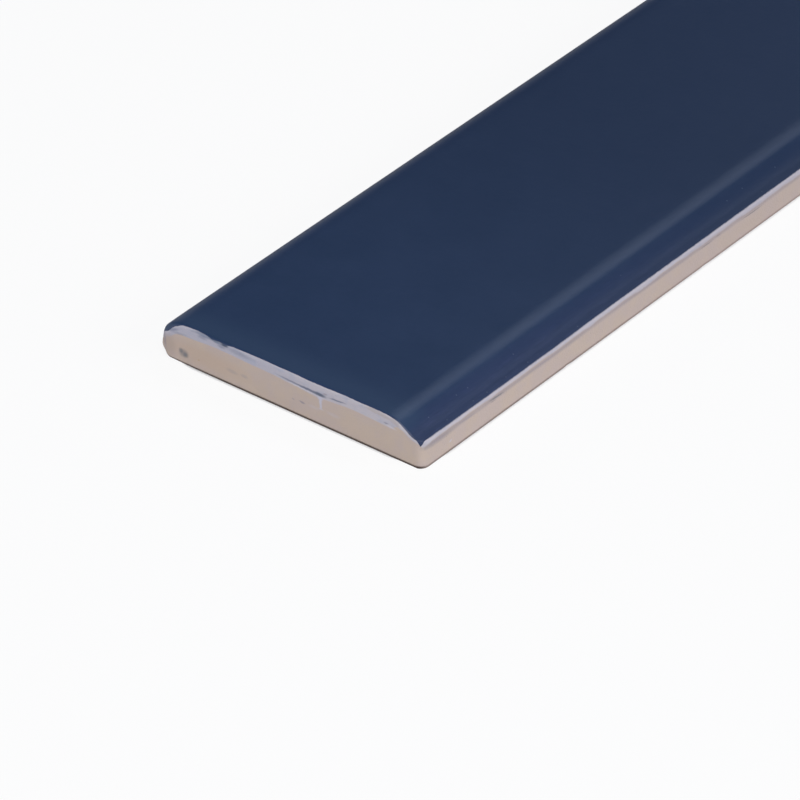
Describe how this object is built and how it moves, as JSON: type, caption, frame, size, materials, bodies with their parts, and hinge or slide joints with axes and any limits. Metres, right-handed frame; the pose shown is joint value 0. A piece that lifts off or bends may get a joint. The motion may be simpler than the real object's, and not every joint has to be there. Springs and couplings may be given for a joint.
{
  "type": "ceramic wall tile",
  "caption": "Slim glazed ceramic wall tile with a rounded bullnose along one side and a step down to a thin lip along the other, bonded to a wall by its flat back.",
  "frame": {"origin": "middle of the back, on the plane that the tile lies or is bonded on", "axes": "+Z out of the glazed face, +Y along the length, +X towards the stepped side with the lip"},
  "size_m": [0.05, 0.3, 0.0072],
  "materials": {
    "navy_glaze": "satin"
  },
  "bodies": {
    "root": {"wall_tile": "navy_glaze"}
  },
  "joints": []
}
